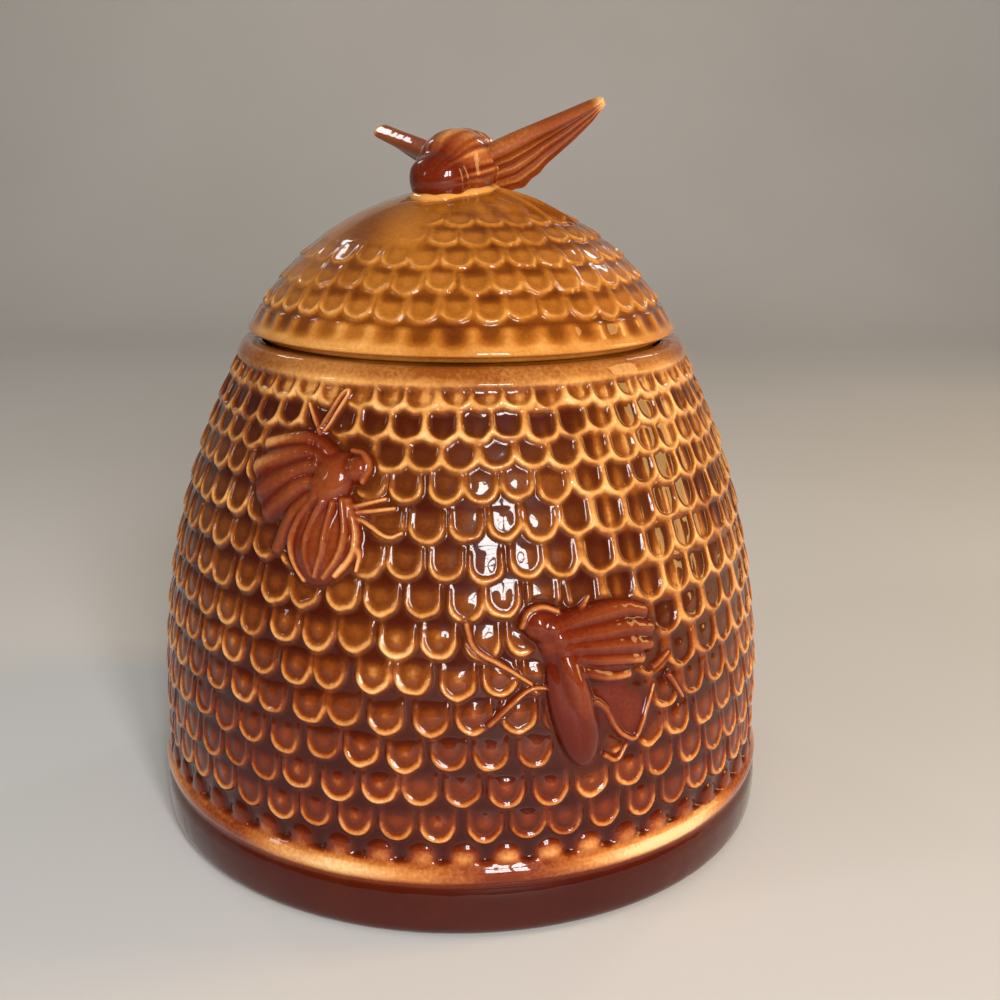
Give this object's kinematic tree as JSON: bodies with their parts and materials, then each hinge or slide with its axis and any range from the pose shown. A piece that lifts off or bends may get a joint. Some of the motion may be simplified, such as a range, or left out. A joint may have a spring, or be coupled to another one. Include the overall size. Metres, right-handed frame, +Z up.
{
  "type": "lidded jar",
  "caption": "Beehive-shaped glazed earthenware honey jar with a scaled wall, relief bees and a lift-off domed lid with a bee knob.",
  "frame": {"origin": "on the table under the middle of the foot ring", "axes": "+Z up along the jar's axis; -Y is the front, where the relief bees are; +X is to the viewer's right"},
  "size_m": [0.214, 0.214, 0.2405],
  "materials": {
    "jar_glaze": "transparent amber-brown gloss glaze that breaks pale on the ridges",
    "lid_glaze": "transparent honey-amber gloss glaze",
    "bee_glaze": "red-brown gloss glaze"
  },
  "bodies": {
    "pot": {"jar": "jar_glaze", "upper_bee": "bee_glaze", "lower_bee": "bee_glaze"},
    "cover": {"lid": "lid_glaze", "knob_bee": "bee_glaze", "knob_left_wing": "bee_glaze", "knob_right_wing": "bee_glaze"}
  },
  "joints": [
    {"name": "lid_lift", "type": "slide", "parent": "pot", "child": "cover", "axis": [0, 0, 1], "range_m": [0, 0.06]}
  ]
}
